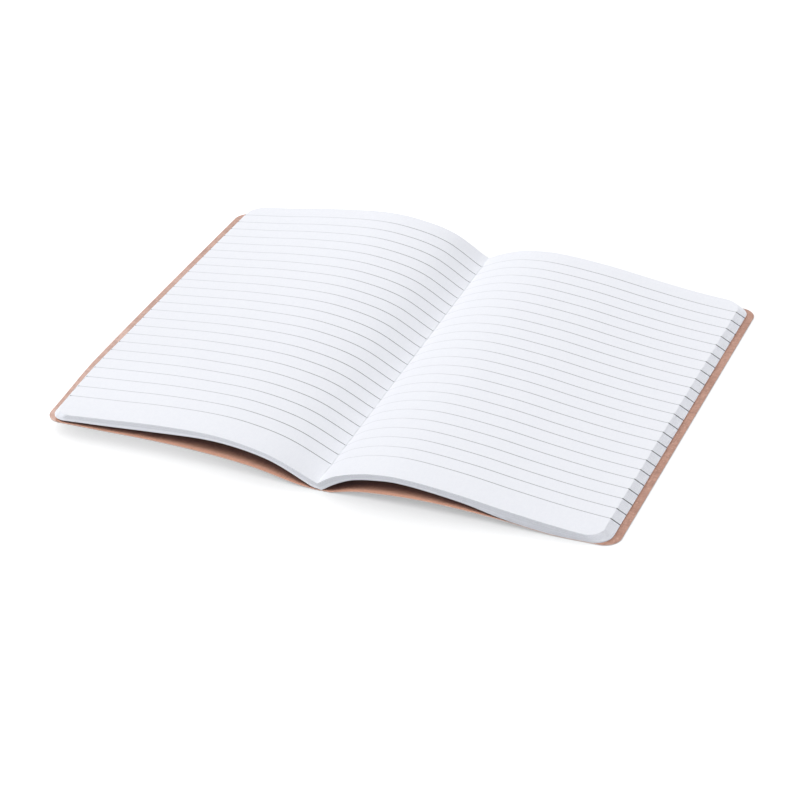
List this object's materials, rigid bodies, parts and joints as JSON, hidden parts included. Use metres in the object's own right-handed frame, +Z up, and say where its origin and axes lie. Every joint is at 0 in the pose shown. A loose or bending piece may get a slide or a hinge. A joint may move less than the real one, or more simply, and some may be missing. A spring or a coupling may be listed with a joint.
{
  "type": "notebook",
  "caption": "Thin sewn notebook lying open at its middle, with arched ruled pages inside a plain brown card cover with rounded corners.",
  "frame": {"origin": "middle of the spine's underside, on the table", "axes": "+X to the right across the open spread, +Y along the spine away from the reader, +Z up"},
  "size_m": [0.262, 0.21, 0.0212],
  "materials": {
    "card": "matte uncoated card",
    "paper": "matte white writing paper",
    "thread": "twisted cotton thread"
  },
  "bodies": {
    "back_half": {"back_cover": "card", "cover_spine": "card", "spine_thread": "thread", "gutter_thread": "thread", "sheet_02_right_leaf": "paper", "sheet_03_right_leaf": "paper", "sheet_04_right_leaf": "paper", "sheet_05_right_leaf": "paper", "sheet_06_right_leaf": "paper", "sheet_07_right_leaf": "paper", "sheet_08_right_leaf": "paper", "sheet_09_right_leaf": "paper", "sheet_10_right_leaf": "paper", "sheet_11_right_leaf": "paper", "sheet_12_right_leaf": "paper", "sheet_13_right_leaf": "paper", "sheet_14_right_leaf": "paper", "sheet_15_right_leaf": "paper", "sheet_16_right_leaf": "paper", "sheet_17_right_leaf": "paper", "sheet_18_right_leaf": "paper", "sheet_19_right_leaf": "paper", "sheet_20_right_leaf": "paper"},
    "front_half": {"front_cover": "card", "sheet_01_left_leaf": "paper", "sheet_02_left_leaf": "paper", "sheet_03_left_leaf": "paper", "sheet_04_left_leaf": "paper", "sheet_05_left_leaf": "paper", "sheet_06_left_leaf": "paper", "sheet_07_left_leaf": "paper", "sheet_08_left_leaf": "paper", "sheet_09_left_leaf": "paper", "sheet_10_left_leaf": "paper", "sheet_11_left_leaf": "paper", "sheet_12_left_leaf": "paper", "sheet_13_left_leaf": "paper", "sheet_14_left_leaf": "paper", "sheet_15_left_leaf": "paper", "sheet_16_left_leaf": "paper", "sheet_17_left_leaf": "paper", "sheet_18_left_leaf": "paper", "sheet_19_left_leaf": "paper", "sheet_20_left_leaf": "paper"},
    "turning_leaf": {"sheet_01_right_leaf": "paper"}
  },
  "joints": [
    {"name": "spine_fold", "type": "hinge", "parent": "back_half", "child": "front_half", "pos_m": [0, 0, 0.0085], "axis": [0, 1, 0], "range_deg": [0, 146]},
    {"name": "page_turn", "type": "hinge", "parent": "back_half", "child": "turning_leaf", "pos_m": [-0.0024, 0, 0.0045], "axis": [0, 1, 0.0076], "range_deg": [-95, 0]}
  ]
}
